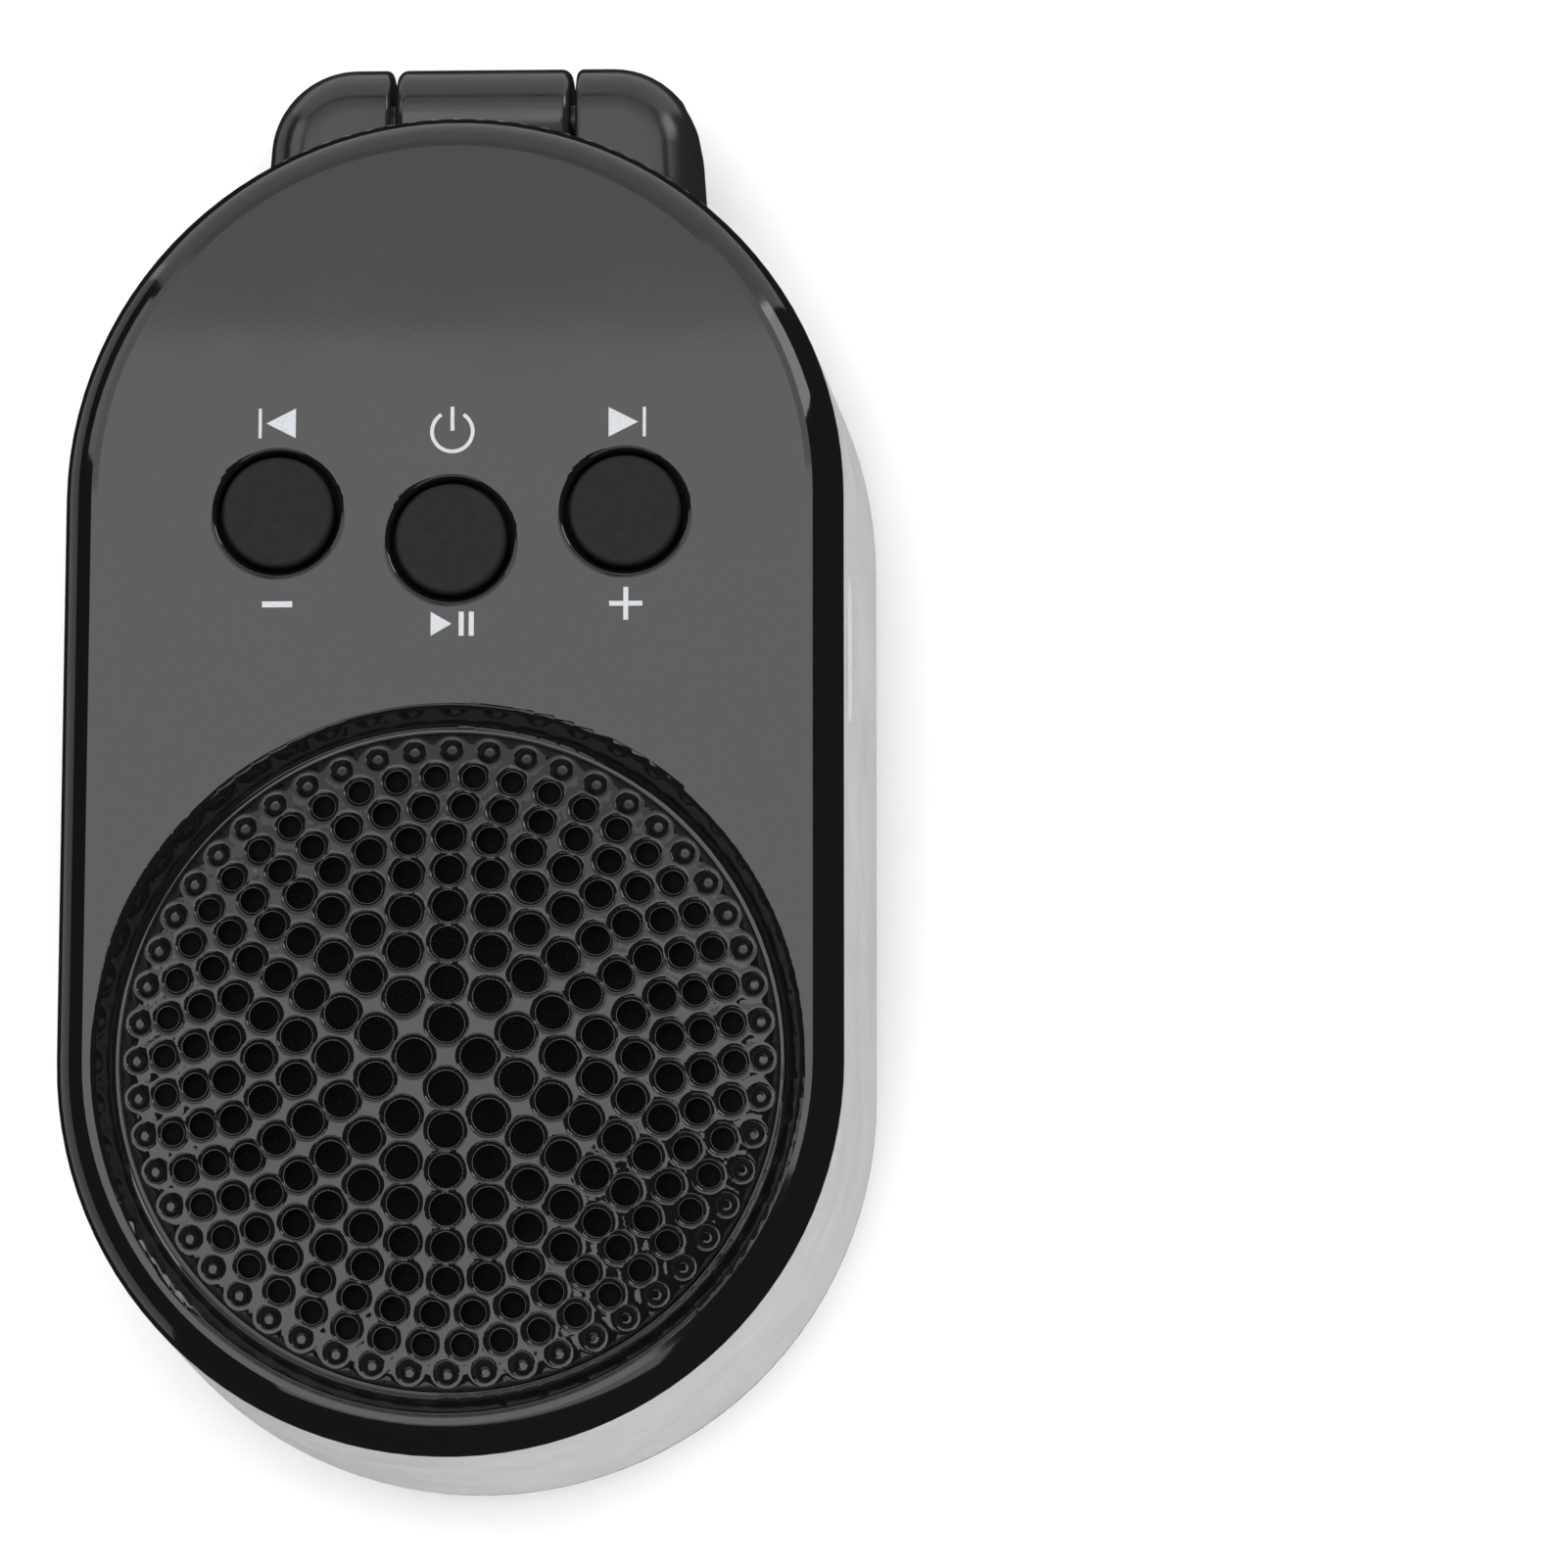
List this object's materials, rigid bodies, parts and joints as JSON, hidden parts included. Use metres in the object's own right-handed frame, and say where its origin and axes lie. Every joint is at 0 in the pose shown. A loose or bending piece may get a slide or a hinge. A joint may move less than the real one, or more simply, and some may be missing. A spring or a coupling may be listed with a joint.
{
  "type": "clip-on shower speaker",
  "caption": "Clip-on shower speaker: stadium-shaped case with round perforated grille, push buttons on a gloss front, flared light housing, side charging port and sprung belt clip.",
  "frame": {"origin": "on the clip's flat resting face, below the middle of the stadium-shaped case", "axes": "+Z out of the front panel, +Y towards the hinge end, +X to the right seen from the front, where the charging port is"},
  "size_m": [0.0578, 0.1055, 0.0387],
  "materials": {
    "gloss_black_plastic": "high-gloss moulded",
    "silver_housing": "satin metallic paint",
    "black_hinge_plastic": "semi-gloss moulded",
    "black_rubber": "matt",
    "screw_steel": "zinc plated",
    "black_cloth": "woven",
    "satin_black_button": "fine satin",
    "chip_black": "moulded epoxy",
    "switch_steel": "stamped",
    "grey_silicone": "matt translucent",
    "board_green": "solder mask",
    "capacitor_can": "drawn can",
    "inductor_grey": "ferrite",
    "port_steel": "nickel plated",
    "ceramic": "fired ceramic",
    "socket_white": "nylon",
    "cell_foil": "laminated foil",
    "foam_tape": "foam",
    "wire_red": "insulation",
    "basket_steel": "black zinc",
    "iron_plate": "zinc plated",
    "ferrite": "sintered",
    "copper_coil": "enamelled wire",
    "paper_cone": "pressed paper",
    "spider_cloth": "treated cloth",
    "terminal_board": "fibre board",
    "wire_black": "insulation",
    "pin_steel": "blackened",
    "spring_steel": "drawn wire"
  },
  "bodies": {
    "case": {"front_cover": "gloss_black_plastic", "front_seal": "black_rubber", "housing": "silver_housing", "back_cover": "black_hinge_plastic", "rear_seal": "black_rubber", "case_screws": "screw_steel", "speaker_grille": "gloss_black_plastic", "grille_cloth": "black_cloth", "switch_bodies": "switch_steel", "keypad_seal": "grey_silicone", "main_board": "board_green", "board_screws": "screw_steel", "control_chip": "chip_black", "amplifier_chip": "chip_black", "capacitors": "capacitor_can", "power_inductor": "inductor_grey", "crystal": "port_steel", "chip_resistors": "ceramic", "chip_antenna": "ceramic", "speaker_socket": "socket_white", "battery_socket": "socket_white", "usb_port_shell": "port_steel", "usb_port_tongue": "chip_black", "battery": "cell_foil", "battery_tape": "foam_tape", "battery_wires": "wire_red", "driver_basket": "basket_steel", "driver_top_plate": "iron_plate", "driver_magnet": "ferrite", "driver_yoke": "iron_plate", "driver_surround": "black_rubber", "driver_spider": "spider_cloth", "driver_gasket": "foam_tape", "driver_screws": "screw_steel", "driver_terminals": "terminal_board", "speaker_wires": "wire_black", "hinge_pin": "pin_steel"},
    "prev_key": {"button_prev": "satin_black_button", "switch_plunger_prev": "chip_black"},
    "play_key": {"button_play": "satin_black_button", "switch_plunger_play": "chip_black"},
    "next_key": {"button_next": "satin_black_button", "switch_plunger_next": "chip_black"},
    "cone_assembly": {"driver_cone": "paper_cone", "dust_cap": "paper_cone", "voice_coil": "copper_coil"},
    "clip": {"clip_arm": "black_hinge_plastic", "clip_pad": "black_rubber", "clip_spring": "spring_steel"}
  },
  "joints": [
    {"name": "prev_press", "type": "slide", "parent": "case", "child": "prev_key", "axis": [0, 0, -1], "range_m": [0, 0.0005], "stiffness_N_per_m": 1500, "springref_m": -0.0006},
    {"name": "play_press", "type": "slide", "parent": "case", "child": "play_key", "axis": [0, 0, -1], "range_m": [0, 0.0005], "stiffness_N_per_m": 1500, "springref_m": -0.0006},
    {"name": "next_press", "type": "slide", "parent": "case", "child": "next_key", "axis": [0, 0, -1], "range_m": [0, 0.0005], "stiffness_N_per_m": 1500, "springref_m": -0.0006},
    {"name": "cone_travel", "type": "slide", "parent": "case", "child": "cone_assembly", "axis": [0, 0, 1], "range_m": [-0.0008, 0.0008], "stiffness_N_per_m": 900, "deforming": ["driver_surround", "driver_spider"]},
    {"name": "clip_hinge", "type": "hinge", "parent": "case", "child": "clip", "pos_m": [0, 0.053, 0.0115], "axis": [1, 0, 0], "range_deg": [0, 50], "stiffness_Nm_per_rad": 0.35, "springref_deg": -34.38}
  ]
}
